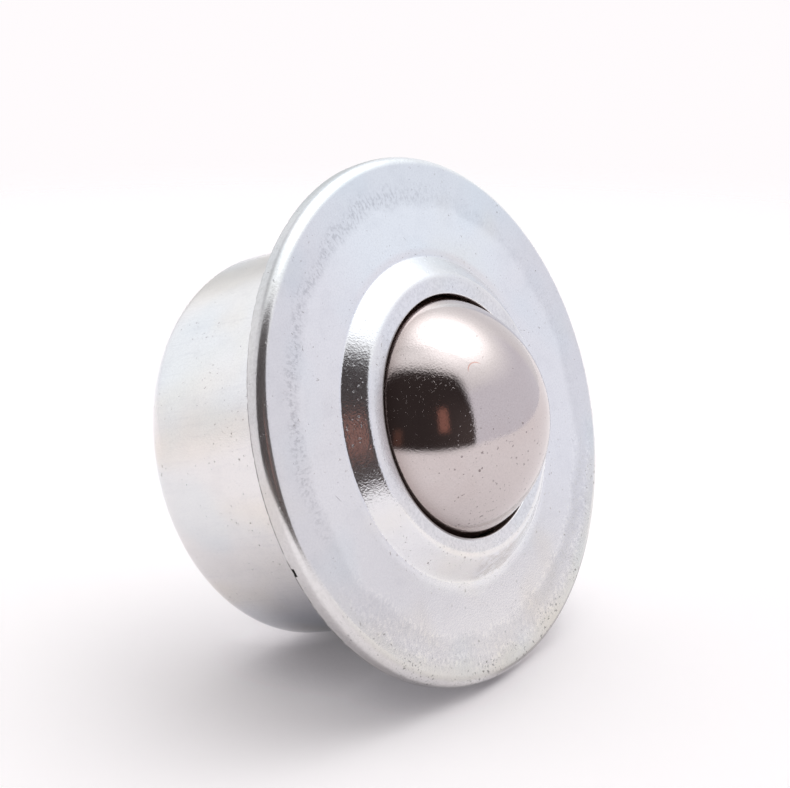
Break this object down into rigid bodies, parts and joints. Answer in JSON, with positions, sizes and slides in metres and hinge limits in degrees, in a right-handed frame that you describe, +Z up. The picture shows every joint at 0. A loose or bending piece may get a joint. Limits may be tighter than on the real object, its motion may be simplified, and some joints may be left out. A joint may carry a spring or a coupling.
{
  "type": "ball transfer unit",
  "caption": "Drop-in ball transfer unit: a load ball in a pressed, zinc-plated steel cup with a round flange and a raised crown.",
  "frame": {"origin": "centre of the base, on the unit's axis, in the plane it stands on", "axes": "+Z up along the unit's axis, from the base to the load ball; the unit is round, so +X and +Y are any two directions across it"},
  "size_m": [0.0524, 0.0524, 0.0322],
  "materials": {
    "zinc_plated_steel": "bright zinc plating, faintly iridescent",
    "ball_steel": "polished, finely pitted",
    "hardened_steel": "hardened and ground, oiled"
  },
  "bodies": {
    "casing": {"housing": "zinc_plated_steel", "cover": "zinc_plated_steel", "race": "hardened_steel"},
    "ball_bed": {"bearing_balls_row_1": "ball_steel", "bearing_balls_row_2": "ball_steel", "bearing_balls_row_3": "ball_steel", "bearing_balls_row_4": "ball_steel", "bearing_balls_row_5": "ball_steel", "bearing_balls_row_6": "ball_steel"},
    "load_ball": {"load_ball": "ball_steel"}
  },
  "joints": [
    {"name": "bed_orbit", "type": "hinge", "parent": "casing", "child": "ball_bed", "pos_m": [0, 0, 0.01945], "axis": [0, 0, 1], "continuous": true},
    {"name": "ball_roll", "type": "hinge", "parent": "ball_bed", "child": "load_ball", "pos_m": [0, 0, 0.01945], "axis": [1, 0, 0], "continuous": true}
  ]
}
